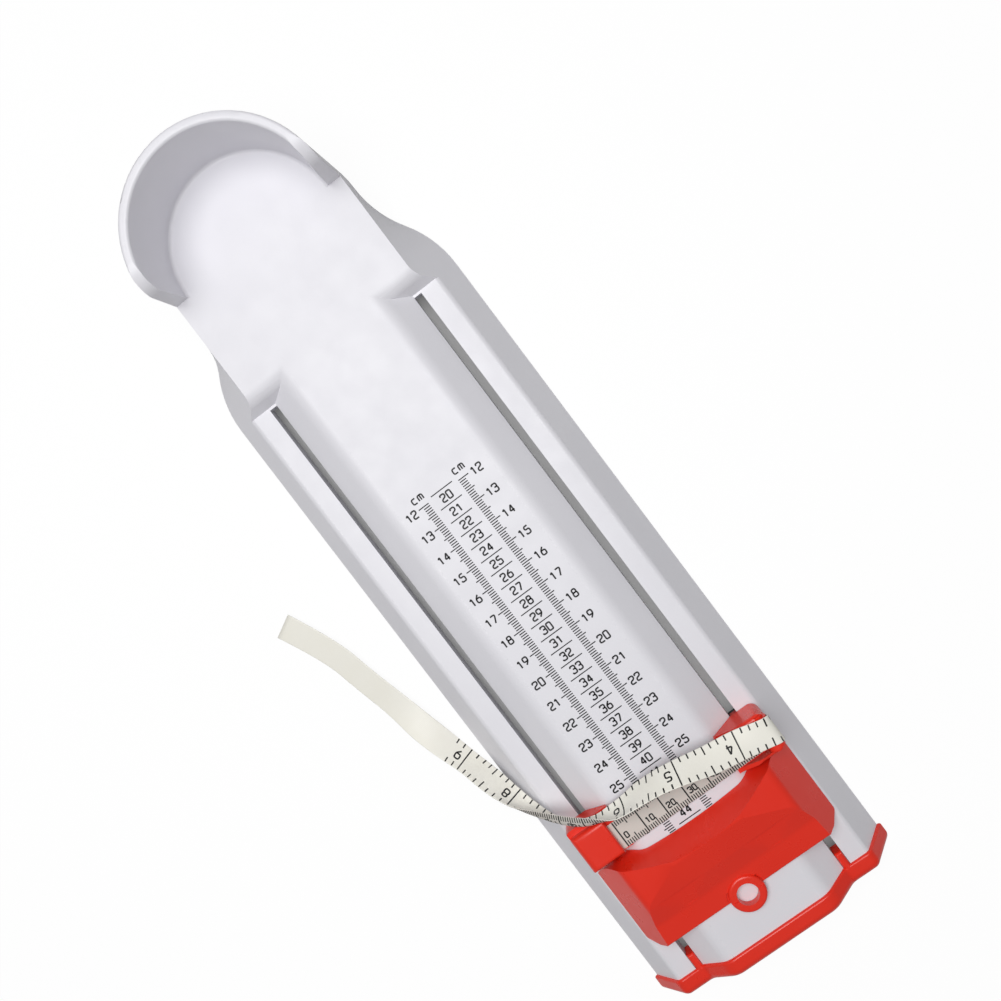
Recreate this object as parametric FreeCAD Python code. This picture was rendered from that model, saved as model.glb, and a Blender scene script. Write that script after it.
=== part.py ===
import FreeCAD, Part
import math
import os

# Foot measuring device: a white moulded bed with a heel cup, a toe slider with a reading ring,
# a girth tape on its own slider, and an end cap that closes the toe end.
# Millimetres. X runs across the foot (+X is the right-hand rail seen from above with the heel
# away from the viewer), +Y runs towards the heel, Z is up and the object rests on z = 0.

V = FreeCAD.Vector

# ---------------------------------------------------------------- driving dimensions
# Base moulding
BED_TOP = 23.5  # height of the flat top that the foot stands on
RAIL_TOP = 14.5  # height of the two side rails that the sliders run on
RIM_TOP = 60.0  # height of the heel cup's rim
SKIRT = 0.8  # the moulding's lower edge stays this far above the table
WALL = 2.5  # wall of the moulding
BED_FLAT = 23.4  # half width of the flat top between the rails
BED_EDGE_R = 8.0  # rounding along the top edges of the raised bed
PLATEAU = 39.5  # half width of the heel plateau at its top
GROUND_HALF = 55.0  # half width of the body at the table
RAIL_EDGE_R = 2.5  # rounding along the outer edge of each rail
SLOT_X = 35.45  # centre of each long slot
SLOT_WIDTH = 3.4
LIP_DEPTH = 6.5  # depth of the guide lips on both sides of a slot
LIP_WALL = 2.0
CUP_Y = 146.7  # centre of the heel cup
CUP_FLOOR_R = 33.9  # radius of the cup inside, at the floor
CUP_RIM_IN_R = 34.5
CUP_RIM_OUT_R = 38.1
CUP_GROUND_R = 40.4
CUP_CORNER_R = 11.0  # rounded front corner at each end of the cup wall
RIM_EDGE_R = 1.2
COVE_R = 1.5  # hollow rounding where the cup wall meets the floor
FLARE_START_Y = 98.7  # the body starts to narrow towards the heel here
TOE_END_Y = -181.1  # the moulding ends here and the end cap starts
SLOT_END_Y = 96.0  # heel-side end of the slots
RECESS_FOOT_Y = 97.0  # foot and top of the sloping wall where the rails rise to the plateau
RECESS_TOP_Y = 101.5
RECESS_EDGE_R = 7.0
RIB = 2.0
BED_RIB_DEPTH = 6.0
BED_RIB_YS = (-150.0, -110.0, -70.0, -30.0, 10.0, 50.0, 90.0)
HEEL_RIB_XS = (-14.0, 14.0)
HEEL_RIB_YS = (124.0, 146.7)
HEEL_RIB_BOTTOM = 12.0

# End cap
CAP_LENGTH = 7.8
CAP_PROUD = 1.2  # the cap is a bead that stands this far out from the moulding all round
CAP_EDGE_R = 3.4
CAP_REAR_R = 1.0
CAP_INNER_R = 3.0
NUB_LENGTH = 6.6
NUB_CLEAR = 0.15
NUB_EDGE_R = 1.4
LUG_X = 19.0
LUG_SIZE = (12.0, 11.0, 3.0)
CAP_BOSS_R = 4.0

# Rubber feet
PAD_R = 4.0
PAD_BOSS_WALL = 1.0
PAD_RECESS = 1.2
PAD_CLEAR = 0.05
SIDE_PAD_X = 46.2
SIDE_PAD_YS = {"toe": -168.0, "mid": 80.0}
HEEL_PAD = (22.0, 162.0)

# Sliders
RUN = 0.3  # running clearance between a slider and the moulding
SIDE_RUN = 0.3  # clearance of a leg in its slot
SLIDER_HALF = 45.0  # half width of both sliders at the rails
KEEPER_THICK = 2.4
KEEPER_HALF = 5.0  # half width of a keeper plate under a slot
SCREW_R = 0.9
SCREW_CLEAR = 0.05
SCREW_HEAD_R = 1.9
SCREW_HEAD = 1.1
SCREW_GRIP = 7.0
SPRING_THICK = 0.4
SPRING_WIDTH = 1.6
SPRING_LENGTH = 18.0
SPRING_BOW = 1.0
TROUGH_GAP = 0.3  # room round a spring in its trough

# Toe slider
TOE_FRONT_Y = -127.0  # middle of its front face, at the bed
TOE_CREST_Y = -133.5  # middle of its crest
TOE_CREST_Z = 34.0
TOE_SHOULDER_Z = 31.0  # height where the top meets the sloping sides
TOE_REAR_Y = -162.0
GRIP_LIP_Y = -144.0  # upper edge of the finger rest
GRIP_LIP_Z = 30.6
GRIP_FOOT_Y = -152.5
GRIP_FOOT_Z = 26.9
REAR_EDGE_Z = 25.6
FOOT_BOW = 0.0021  # half the curvature of the front face at the bed
CREST_BOW = 0.0078  # and along the crest
SIDE_SLOPE = 0.66  # run over rise of the sloping sides
SCOOP_NEAR_X = 8.0  # the two shallow finger scoops under the lip, with pointed ends
SCOOP_FAR_X = 31.0
SCOOP_DEPTH = 1.3
SCOOP_FALL = 15.0  # degrees that the bottom of a scoop falls towards the rear
SCOOP_LIP = 0.5  # the scoop starts this far in front of the lip
SCOOP_RUN = 9.0
RING_R = 7.5
RING_X = -0.7  # the ring stands a little left of the middle, in line with the printed scale
RING_HOLE_R = 4.4
RING_TOP = 27.4
RING_EDGE_R = 1.2
RING_GROOVE = (0.8, 0.5)  # width and depth of the groove round the ring
POINTER = 0.6
TOE_LEG = (-160.0, -128.0)  # rear and front of the legs
TOE_POCKET_WALL = 2.6

# Girth tape
TAPE_WIDTH = 11.4
TAPE_THICK = 0.5
TAPE_GAP = 0.1
TAPE_SIDE_GAP = 0.3  # room beside each edge of the tape
TAPE_SLANT = 1.4  # more room at the front of the pin, where the tape leaves at a slant

# Tape slider
TAPE_SLIDER_REAR_Y = -123.0  # rear of the right block, close in front of the toe slider
CLAMP_BEHIND = 0.4  # the left block ends this far behind the tape
CLAMP_LENGTH = 18.3
CLAMP_CAP_SHORT = 2.4  # the clamp cap ends short of the block, where the loose tape passes
CHEEK_REAR = 1.6  # walls of the right block, behind and in front of the tape
CHEEK_FRONT = 2.0
TAPE_LEG_LENGTH = 13.0
TAPE_FOOT_X = 24.5  # inner end of the thin feet that lie over the bed
FOOT_THICK = 0.8
CLAMP_IN_X = 28.5
CLAMP_DEPTH = 6.0  # how far the tape's room goes in under the cap, open at its rear
CLAMP_TOP = 28.4
CLAMP_OUT_TOP_X = 43.0
CHEEK_TOP = 30.0
CHEEK_IN_X = 35.0
BLOCK_EDGE_R = 2.0  # rounding along the front and rear edges of both tops
PIN_X = 42.2
PIN_R = 3.3
JOURNAL_R = 1.6
JOURNAL = 1.0  # length of each journal in its cheek
CROSSBAR_WIDTH = 8.0
BLOCK_CORNER_R = 3.5  # upright corners on the outer side of both blocks

TAPE_REAR_Y = TAPE_SLIDER_REAR_Y + CHEEK_REAR + TAPE_SIDE_GAP
TAPE_Y = TAPE_REAR_Y + TAPE_WIDTH / 2
TAPE_FRONT_Y = TAPE_REAR_Y + TAPE_WIDTH
GUIDE_CHANNEL = (TAPE_REAR_Y - TAPE_SIDE_GAP, TAPE_FRONT_Y + TAPE_SIDE_GAP + TAPE_SLANT)
GUIDE_BLOCK = (TAPE_SLIDER_REAR_Y, GUIDE_CHANNEL[1] + CHEEK_FRONT)  # rear and front
CLAMP_BLOCK = (TAPE_REAR_Y - CLAMP_BEHIND, TAPE_REAR_Y - CLAMP_BEHIND + CLAMP_LENGTH)
TAPE_LEG = (TAPE_REAR_Y + TAPE_SIDE_GAP * 2, TAPE_REAR_Y + TAPE_SIDE_GAP * 2 + TAPE_LEG_LENGTH)
BED_DROP = BED_TOP - RAIL_TOP
SLOT_IN = SLOT_X - SLOT_WIDTH / 2
SLOT_OUT = SLOT_X + SLOT_WIDTH / 2
LIP_BOTTOM = RAIL_TOP - LIP_DEPTH
BODY_SLOPE = (GROUND_HALF - PLATEAU) / BED_TOP
CAP_FRONT_Y = TOE_END_Y - CAP_LENGTH
LUG_SCREW_Y = TOE_END_Y + LUG_SIZE[1] / 2
KEEPER_TOP = LIP_BOTTOM - RUN
TAPE_LOW_Z = BED_TOP + RUN + FOOT_THICK + TAPE_GAP + TAPE_THICK / 2
PIN_Z = TAPE_LOW_Z + TAPE_THICK / 2 + TAPE_GAP + PIN_R
TAPE_LOOP = PIN_R + TAPE_GAP + TAPE_THICK / 2
FAR = 200.0  # longer than the object, for cutting shapes


# ---------------------------------------------------------------- drawing helpers
def xz(y):
    """Places a drawn point (across, up) in the cross-section plane at this y."""
    return lambda a, b: V(a, y, b)


def yz(x):
    """Places a drawn point (along, up) in the side-view plane at this x."""
    return lambda a, b: V(x, a, b)


def xy(z):
    """Places a drawn point (across, along) in the plan at this height."""
    return lambda a, b: V(a, b, z)


def corner_arc(before, corner, after, radius):
    """Start, middle and end of the arc that rounds one corner of a drawn outline."""
    p, c, n = (V(q[0], q[1], 0) for q in (before, corner, after))
    to_p, to_n = (p - c).normalize(), (n - c).normalize()
    half = to_p.getAngle(to_n) / 2
    reach = radius / math.tan(half)
    centre = c + (to_p + to_n).normalize() * (radius / math.sin(half))
    middle = centre + (c - centre).normalize() * radius
    return c + to_p * reach, middle, c + to_n * reach


def outline(corners, place):
    """A closed wire through the corners; a third number on a corner is its rounding radius."""
    edges, count = [], len(corners)
    pieces = []
    for i, corner in enumerate(corners):
        before, after = corners[i - 1], corners[(i + 1) % count]
        if len(corner) == 3 and corner[2] > 0:
            pieces.append(corner_arc(before, corner, after, corner[2]))
        else:
            pieces.append((V(corner[0], corner[1], 0),))
    for i, piece in enumerate(pieces):
        if len(piece) == 3:
            edges.append(Part.Arc(*(place(q.x, q.y) for q in piece)).toShape())
        start, end = piece[-1], pieces[(i + 1) % count][0]
        if (end - start).Length > 1e-6:
            edges.append(Part.makeLine(place(start.x, start.y), place(end.x, end.y)))
    return Part.Wire(edges)


def prism(corners, place, along):
    """A drawn outline, carried along a vector."""
    return Part.Face(outline(corners, place)).extrude(along)


def box(x0, x1, y0, y1, z0, z1):
    return Part.makeBox(x1 - x0, y1 - y0, z1 - z0, V(x0, y0, z0))


def post(radius, x, y, z0, z1):
    return Part.makeCylinder(radius, z1 - z0, V(x, y, z0))


def mirrored(shape):
    return shape.mirror(V(0, 0, 0), V(1, 0, 0))


def joined(first, *others):
    return first.fuse(list(others)).removeSplitter()


def body_x(z):
    """Half width of the straight body at this height."""
    return GROUND_HALF - BODY_SLOPE * z


def bed_slope_x(z):
    """Where the sloping flank of the raised bed is at this height."""
    return SLOT_IN - (z - RAIL_TOP) * (SLOT_IN - BED_FLAT) / BED_DROP


# ---------------------------------------------------------------- base moulding
def plan_edges(z, half, neck, curved, toe_y):
    """The body's outline in plan: straight sides, an S-shaped waist and a round heel.

    Each side of the waist is two arcs of one radius, tangent to the side and to the neck. Without
    curved it is straight, so that a lower and an upper outline have edges that match one to one.
    """
    mid_y = (FLARE_START_Y + CUP_Y) / 2
    mid_x = (half + neck) / 2
    run, rise = CUP_Y - FLARE_START_Y, half - neck
    place = xy(z)
    edges = [Part.makeLine(place(-half, toe_y), place(half, toe_y))]
    edges.append(Part.makeLine(place(half, toe_y), place(half, FLARE_START_Y)))
    if curved:
        radius = (run * run + rise * rise) / (4 * rise)
        turn = math.asin(run / 2 / radius) / 2
        bow_x, bow_y = radius * (1 - math.cos(turn)), radius * math.sin(turn)
    for sign in (1, -1):
        points = [(sign * half, FLARE_START_Y), (sign * mid_x, mid_y), (sign * neck, CUP_Y)]
        if curved:
            bows = [(sign * (half - bow_x), FLARE_START_Y + bow_y), (sign * (neck + bow_x), CUP_Y - bow_y)]
            halves = [Part.Arc(place(*points[i]), place(*bows[i]), place(*points[i + 1])) for i in (0, 1)]
            waist = [arc.toShape() for arc in halves]
        else:
            waist = [Part.makeLine(place(*points[i]), place(*points[i + 1])) for i in (0, 1)]
        if sign == 1:
            edges += waist
            diagonal = neck / math.sqrt(2)
            for side in (1, -1):
                ends = [(neck, CUP_Y), (diagonal, CUP_Y + diagonal), (0, CUP_Y + neck)]
                ends = [place(side * a, b) for a, b in ends][::side]
                edges.append(Part.Arc(*ends).toShape())
        else:
            edges += waist[::-1]
    edges.append(Part.makeLine(place(-half, FLARE_START_Y), place(-half, toe_y)))
    return Part.Wire(edges)


def body_block(inset, bottom, top, toe_y):
    """The tapered block of the body, or of the hollow inside it when inset is a wall."""
    across = inset * math.sqrt(1 + BODY_SLOPE**2)
    low = GROUND_HALF - BODY_SLOPE * bottom - across
    low_neck = CUP_GROUND_R - (CUP_GROUND_R - PLATEAU) * bottom / BED_TOP - inset
    high = GROUND_HALF - BODY_SLOPE * top - across
    high_neck = CUP_GROUND_R - (CUP_GROUND_R - PLATEAU) * top / BED_TOP - inset
    curved = high - high_neck > 0.5
    wires = [plan_edges(bottom, low, low_neck, True, toe_y), plan_edges(top, high, high_neck, curved, toe_y)]
    return Part.makeLoft(wires, True, True)


def rail_recess():
    """What is cut away over the right rail: above the bed's flank and the rail, up to the rising wall.

    The rail's outer edge is rounded in the same profile, and the wall at the heel end and the
    flank meet in a mitre because the recess is where the two drawn profiles overlap.
    """
    corner = (body_x(RAIL_TOP), RAIL_TOP)
    fall = math.atan2(1, BODY_SLOPE)
    reach = RAIL_EDGE_R * math.tan(fall / 2)
    tangent = (corner[0] + reach * math.cos(fall), corner[1] - reach * math.sin(fall))
    across = [
        (BED_FLAT - 2 * BED_EDGE_R, BED_TOP),
        (BED_FLAT, BED_TOP, BED_EDGE_R),
        (SLOT_IN, RAIL_TOP),
        (corner[0], corner[1], RAIL_EDGE_R * 0.999),
        tangent,
        (FAR, tangent[1]),
        (FAR, FAR),
        (BED_FLAT - 2 * BED_EDGE_R, FAR),
    ]
    lean = (RECESS_TOP_Y - RECESS_FOOT_Y) / BED_DROP
    low = RAIL_TOP - LIP_DEPTH
    along = [
        (-2 * FAR, low),
        (RECESS_FOOT_Y - lean * LIP_DEPTH, low),
        (RECESS_TOP_Y, BED_TOP, RECESS_EDGE_R),
        (RECESS_TOP_Y + 4 * RECESS_EDGE_R, BED_TOP),
        (RECESS_TOP_Y + 4 * RECESS_EDGE_R, FAR),
        (-2 * FAR, FAR),
    ]
    section = prism(across, xz(-2 * FAR), V(0, 4 * FAR, 0))
    return section.common(prism(along, yz(0), V(FAR, 0, 0)))


def cup_wall():
    """The half-round wall of the heel cup: a drawn section turned through half a turn."""
    draft = (CUP_RIM_IN_R - CUP_FLOOR_R) / (RIM_TOP - BED_TOP)
    section = [
        (CUP_FLOOR_R - 3 * COVE_R, BED_TOP - WALL / 2),
        (CUP_FLOOR_R - 3 * COVE_R, BED_TOP),
        (CUP_FLOOR_R, BED_TOP, COVE_R),
        (CUP_RIM_IN_R, RIM_TOP, RIM_EDGE_R),
        (CUP_RIM_OUT_R, RIM_TOP, RIM_EDGE_R),
        (PLATEAU, BED_TOP),
        (PLATEAU + draft, BED_TOP - WALL / 2),
    ]
    wall = Part.Face(outline(section, xz(0))).revolve(V(0, 0, 0), V(0, 0, 1), 180)
    wall.translate(V(0, CUP_Y, 0))
    corner_z = RIM_TOP - CUP_CORNER_R
    corner = box(-FAR, FAR, CUP_Y - 1, CUP_Y + CUP_CORNER_R, corner_z, RIM_TOP + 1)
    rounding = Part.makeCylinder(CUP_CORNER_R, 2 * FAR, V(-FAR, CUP_Y + CUP_CORNER_R, corner_z), V(1, 0, 0))
    return wall.cut(corner.cut(rounding))


def pad_places():
    """Name and place of each rubber foot."""
    for side, sign in (("left", -1), ("right", 1)):
        for name, y in SIDE_PAD_YS.items():
            yield f"foot_pad_{name}_{side}", sign * SIDE_PAD_X, y
        yield f"foot_pad_heel_{side}", sign * HEEL_PAD[0], HEEL_PAD[1]


def rail_hollow():
    """The room under the right rail, outside the slot's guide lip."""
    inset = WALL * math.sqrt(1 + BODY_SLOPE**2)
    top = RAIL_TOP - WALL
    corners = [
        (SLOT_OUT + LIP_WALL, LIP_BOTTOM),
        (SLOT_OUT + LIP_WALL, top),
        (body_x(top) - inset, top),
        (body_x(LIP_BOTTOM) - inset, LIP_BOTTOM),
    ]
    return prism(corners, xz(TOE_END_Y - 1), V(0, SLOT_END_Y + WALL - TOE_END_Y + 1, 0))


def bed_hollow():
    """The room under the raised bed, between the two inner guide lips."""
    inset = WALL * math.hypot(1, (SLOT_IN - BED_FLAT) / BED_DROP)
    top = BED_TOP - WALL
    lip = SLOT_IN - LIP_WALL
    meet = RAIL_TOP + (SLOT_IN - inset - lip) * BED_DROP / (SLOT_IN - BED_FLAT)
    right = [(lip, LIP_BOTTOM), (lip, meet), (bed_slope_x(top) - inset, top)]
    corners = right + [(-x, z) for x, z in reversed(right)]
    return prism(corners, xz(TOE_END_Y - 1), V(0, SLOT_END_Y + WALL - TOE_END_Y + 1, 0))


def base_shell():
    shell = joined(body_block(0, SKIRT, BED_TOP, TOE_END_Y), cup_wall())
    recess = rail_recess()
    shell = shell.cut([recess, mirrored(recess)])
    main_room = body_block(WALL, SKIRT - 1, BED_TOP - WALL, TOE_END_Y - 1)
    main_room = main_room.cut(box(-FAR, FAR, -2 * FAR, RECESS_TOP_Y + WALL, LIP_BOTTOM, FAR))
    rail_room = rail_hollow()
    shell = shell.cut([main_room, rail_room, mirrored(rail_room), bed_hollow()])
    slots = [box(s * SLOT_X - SLOT_WIDTH / 2, s * SLOT_X + SLOT_WIDTH / 2, TOE_END_Y - 1, SLOT_END_Y, 0, FAR)
             for s in (-1, 1)]
    shell = shell.cut(slots)
    added = []
    room = body_block(WALL / 2, SKIRT - 1, BED_TOP - WALL / 2, TOE_END_Y)
    lip = SLOT_IN - LIP_WALL
    for y in BED_RIB_YS:
        rib = box(-lip, lip, y - RIB / 2, y + RIB / 2, BED_TOP - WALL - BED_RIB_DEPTH, BED_TOP)
        recess_free = rib.cut([recess, mirrored(recess)])
        added.append(recess_free)
    rib_top = BED_TOP - WALL / 2
    for x in HEEL_RIB_XS:
        added.append(box(x - RIB / 2, x + RIB / 2, RECESS_TOP_Y + WALL, FAR, HEEL_RIB_BOTTOM, rib_top))
    for y in HEEL_RIB_YS:
        added.append(box(-PLATEAU, PLATEAU, y - RIB / 2, y + RIB / 2, HEEL_RIB_BOTTOM, rib_top))
    for name, x, y in pad_places():
        top = BED_TOP if "heel" in name else RAIL_TOP
        added.append(post(PAD_R + PAD_BOSS_WALL, x, y, SKIRT, top - WALL / 2))
    for s in (-1, 1):
        added.append(post(CAP_BOSS_R, s * LUG_X, LUG_SCREW_Y, LIP_BOTTOM, rib_top))
    shell = joined(shell, *[piece.common(room) for piece in added])
    holes = [post(PAD_R + PAD_CLEAR, x, y, 0, SKIRT + PAD_RECESS) for name, x, y in pad_places()]
    for s in (-1, 1):
        holes.append(post(SCREW_R + SCREW_CLEAR, s * LUG_X, LUG_SCREW_Y, 0, LIP_BOTTOM + SCREW_GRIP))
    return shell.cut(holes)


def foot_pad(x, y):
    """A rubber foot: a short disc, set into its boss."""
    return post(PAD_R, x, y, 0, SKIRT + PAD_RECESS)


# ---------------------------------------------------------------- end cap
def end_cap():
    """The end cap is a round bead along the section of the moulding, with nubs that close the slots."""
    rail, bed = RAIL_TOP + CAP_PROUD, BED_TOP + CAP_PROUD
    side = CAP_PROUD * math.hypot(1, BODY_SLOPE)
    flank = CAP_PROUD * math.hypot(1, (SLOT_IN - BED_FLAT) / BED_DROP)
    right = [
        (body_x(SKIRT) + side, SKIRT),
        (body_x(rail) + side, rail, RAIL_EDGE_R + CAP_PROUD),
        (bed_slope_x(rail) + flank, rail, CAP_INNER_R),
        (bed_slope_x(bed) + flank, bed, BED_EDGE_R + CAP_PROUD),
    ]
    section = right + [(-c[0], *c[1:]) for c in reversed(right)]
    block = prism(section, xz(CAP_FRONT_Y), V(0, CAP_LENGTH, 0))
    front = [e for e in block.Edges if e.BoundBox.YMax < CAP_FRONT_Y + 1e-6 and e.BoundBox.ZMax > SKIRT + 0.1]
    block = block.makeFillet(CAP_EDGE_R, front)
    rear = [e for e in block.Edges if e.BoundBox.YMin > TOE_END_Y - 1e-6 and e.BoundBox.ZMax > SKIRT + 0.1]
    block = block.makeFillet(CAP_REAR_R, rear)
    added = []
    for s in (-1, 1):
        half = SLOT_WIDTH / 2 - NUB_CLEAR
        x = s * SLOT_X
        nub_top = RAIL_TOP + CAP_PROUD
        nub = box(x - half, x + half, TOE_END_Y - 1, TOE_END_Y + NUB_LENGTH, LIP_BOTTOM, nub_top)
        rim = [e for e in nub.Edges if e.BoundBox.ZMin > nub_top - 0.01 and e.BoundBox.YMax > TOE_END_Y]
        nub = nub.makeFillet(NUB_EDGE_R, rim)
        x, width = s * LUG_X, LUG_SIZE[0]
        lug_z = LIP_BOTTOM - LUG_SIZE[2]
        lug = box(x - width / 2, x + width / 2, TOE_END_Y - 1, TOE_END_Y + LUG_SIZE[1], lug_z, LIP_BOTTOM)
        added += [nub, lug]
    cap = joined(block, *added)
    holes = [post(SCREW_R + SCREW_CLEAR, s * LUG_X, LUG_SCREW_Y, 0, LIP_BOTTOM + 1) for s in (-1, 1)]
    return cap.cut(holes)


def screw(x, y, seat_z):
    """A pan-head self-tapping screw driven upwards; its head bears on a face at seat_z."""
    head = post(SCREW_HEAD_R, x, y, seat_z - SCREW_HEAD, seat_z)
    return joined(head, post(SCREW_R, x, y, seat_z - SCREW_HEAD, seat_z + SCREW_GRIP))


# ---------------------------------------------------------------- toe slider
def front_face_y(x, z):
    """The front face leans back from the bed to the crest and is hollowed for the toes."""
    share = (z - BED_TOP) / (TOE_CREST_Z - BED_TOP)
    middle = TOE_FRONT_Y + share * (TOE_CREST_Y - TOE_FRONT_Y)
    return middle + (FOOT_BOW + share * (CREST_BOW - FOOT_BOW)) * x * x


def toe_front_cutter():
    """All that lies in front of the hollowed front face: a ruled shape between two arcs."""
    wires = []
    reach = SLIDER_HALF + 3
    for z in (RAIL_TOP - 6, TOE_CREST_Z + 8):
        ends = [V(x, front_face_y(x, z), z) for x in (-reach, 0, reach)]
        back_left, back_right = V(-reach, 0, z), V(reach, 0, z)
        edges = [
            Part.Arc(*ends).toShape(),
            Part.makeLine(ends[2], back_right),
            Part.makeLine(back_right, back_left),
            Part.makeLine(back_left, ends[0]),
        ]
        wires.append(Part.Wire(edges))
    return Part.makeLoft(wires, True, True)


def saddle_underside(y0, y1, gap):
    """The moulding's bed and rails, grown by the running clearance, as a shape to cut with."""
    lean = gap * math.hypot(1, (SLOT_IN - BED_FLAT) / BED_DROP)
    right = [
        (bed_slope_x(RAIL_TOP + gap) + lean, RAIL_TOP + gap),
        (bed_slope_x(BED_TOP + gap) + lean, BED_TOP + gap, BED_EDGE_R),
    ]
    corners = [(FAR, 0), (FAR, RAIL_TOP + gap)] + right
    corners += [(-c[0], *c[1:]) for c in reversed(corners)]
    return prism(corners, xz(y0), V(0, y1 - y0, 0))


def ring_collar():
    """The raised collar of the reading window, open through its middle."""
    collar = post(RING_R, RING_X, TOE_REAR_Y, BED_TOP + RUN, RING_TOP)
    rim = [e for e in collar.Edges if abs(e.BoundBox.ZMin - RING_TOP) < 1e-6]
    return collar.makeFillet(RING_EDGE_R, rim)


def finger_scoop():
    """A shallow scoop with pointed ends under the lip: a wide cylinder that is sunk into the slope."""
    half = (SCOOP_FAR_X - SCOOP_NEAR_X) / 2
    radius = (half * half + SCOOP_DEPTH * SCOOP_DEPTH) / (2 * SCOOP_DEPTH)
    fall = math.radians(SCOOP_FALL)
    down = V(0, -math.cos(fall), -math.sin(fall))
    out = V(0, -math.sin(fall), math.cos(fall))
    deepest = V(SCOOP_NEAR_X + half, GRIP_LIP_Y + SCOOP_LIP, GRIP_LIP_Z - SCOOP_DEPTH)
    return Part.makeCylinder(radius, SCOOP_RUN, deepest + out * radius, down)


def toe_slider():
    top = [
        (TOE_REAR_Y, 0),
        (TOE_REAR_Y, REAR_EDGE_Z, 0.8),
        (GRIP_FOOT_Y, GRIP_FOOT_Z, 9.0),
        (GRIP_LIP_Y, GRIP_LIP_Z, 2.0),
        (TOE_CREST_Y, TOE_CREST_Z, 3.0),
        (0, TOE_CREST_Z + 1.5),
        (0, 0),
    ]
    side_view = prism(top, yz(-FAR), V(2 * FAR, 0, 0))
    shoulder = SLIDER_HALF - SIDE_SLOPE * (TOE_SHOULDER_Z - RAIL_TOP - RUN)
    across = [
        (-SLIDER_HALF, RAIL_TOP + RUN),
        (SLIDER_HALF, RAIL_TOP + RUN),
        (shoulder, TOE_SHOULDER_Z, 5.0),
        (0, TOE_CREST_Z + 2.4, 60.0),
        (-shoulder, TOE_SHOULDER_Z, 5.0),
    ]
    end_view = prism(across, xz(-2 * FAR), V(0, 4 * FAR, 0))
    plan = [
        (-SLIDER_HALF, 0),
        (-SLIDER_HALF, TOE_REAR_Y + 2.5, 1.5),
        (-SLIDER_HALF + 5.5, TOE_REAR_Y - 1.0, 2.5),
        (-SLIDER_HALF + 12, TOE_REAR_Y - 1.0),
        (SLIDER_HALF - 12, TOE_REAR_Y - 1.0),
        (SLIDER_HALF - 5.5, TOE_REAR_Y - 1.0, 2.5),
        (SLIDER_HALF, TOE_REAR_Y + 2.5, 1.5),
        (SLIDER_HALF, 0),
    ]
    plan_view = prism(plan, xy(0), V(0, 0, FAR))
    saddle = side_view.common(end_view).common(plan_view).cut(toe_front_cutter())
    saddle = saddle.fuse(ring_collar())
    front_y = front_face_y(0, TOE_CREST_Z)
    pocket = [
        (front_y - 1, BED_TOP),
        (GRIP_LIP_Y + 1, BED_TOP),
        (GRIP_LIP_Y + 1, GRIP_LIP_Z - TOE_POCKET_WALL),
        (front_y - 1, TOE_CREST_Z - TOE_POCKET_WALL),
    ]
    pocket = prism(pocket, yz(-BED_FLAT + 4), V(2 * BED_FLAT - 8, 0, 0))
    saddle = saddle.cut([saddle_underside(-FAR, 0, RUN), pocket])
    legs = [slider_leg(s, TOE_LEG) for s in (-1, 1)]
    saddle = joined(saddle, *legs)
    cuts = [post(RING_HOLE_R, RING_X, TOE_REAR_Y, 0, FAR)]
    groove_r = RING_R + RING_GROOVE[0]
    groove_z = REAR_EDGE_Z - RING_GROOVE[1]
    moat = post(groove_r, RING_X, TOE_REAR_Y, groove_z, REAR_EDGE_Z + 0.6)
    cuts.append(moat.cut(post(RING_R, RING_X, TOE_REAR_Y, 0, FAR)))
    for s in (-1, 1):
        cuts.append(finger_scoop() if s == 1 else mirrored(finger_scoop()))
        reach = sorted((RING_X + s * RING_HOLE_R / 2, s * FAR))
        cuts.append(box(*reach, TOE_REAR_Y - POINTER / 2, TOE_REAR_Y + POINTER / 2, RING_TOP - POINTER, FAR))
        for y in leg_screw_ys(TOE_LEG):
            cuts.append(post(SCREW_R + SCREW_CLEAR, s * SLOT_X, y, 0, KEEPER_TOP - KEEPER_THICK + SCREW_GRIP))
    return saddle.cut(cuts)


def slider_leg(side, leg):
    """The leg that goes down through a slot, from the slider to its keeper."""
    half = SLOT_WIDTH / 2 - SIDE_RUN
    return box(side * SLOT_X - half, side * SLOT_X + half, *leg, KEEPER_TOP, RAIL_TOP + 1)


def leg_screw_ys(leg):
    """Two screws go up into each leg, a fifth of its length from its ends."""
    inset = (leg[1] - leg[0]) / 5
    return leg[0] + inset, leg[1] - inset


def keeper(side, leg):
    """The plate under a slot that holds a slider down, with a trough for its drag spring."""
    z0, z1 = KEEPER_TOP - KEEPER_THICK, KEEPER_TOP
    x = side * SLOT_X
    plate = box(x - KEEPER_HALF, x + KEEPER_HALF, leg[0], leg[1], z0, z1)
    upright = [e for e in plate.Edges if abs(e.Vertexes[0].Z - e.Vertexes[1].Z) > KEEPER_THICK / 2]
    plate = plate.makeFillet(1.5, upright)
    holes = [post(SCREW_R + SCREW_CLEAR, x, y, 0, FAR) for y in leg_screw_ys(leg)]
    return plate.cut(holes + [spring_trough(side, leg)])


def spring_x(side):
    """A drag spring bears on the guide lip that is nearer the middle of the body."""
    return side * (SLOT_IN - LIP_WALL / 2)


def spring_reach(leg):
    """Half the length of a spring, which is shorter than its keeper."""
    return min(SPRING_LENGTH, leg[1] - leg[0] - 3) / 2


def spring_trough(side, leg):
    middle = (leg[0] + leg[1]) / 2
    x, half, reach = spring_x(side), SPRING_WIDTH / 2 + TROUGH_GAP, spring_reach(leg) + TROUGH_GAP
    return box(x - half, x + half, middle - reach, middle + reach, KEEPER_TOP - SPRING_BOW, FAR)


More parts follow.
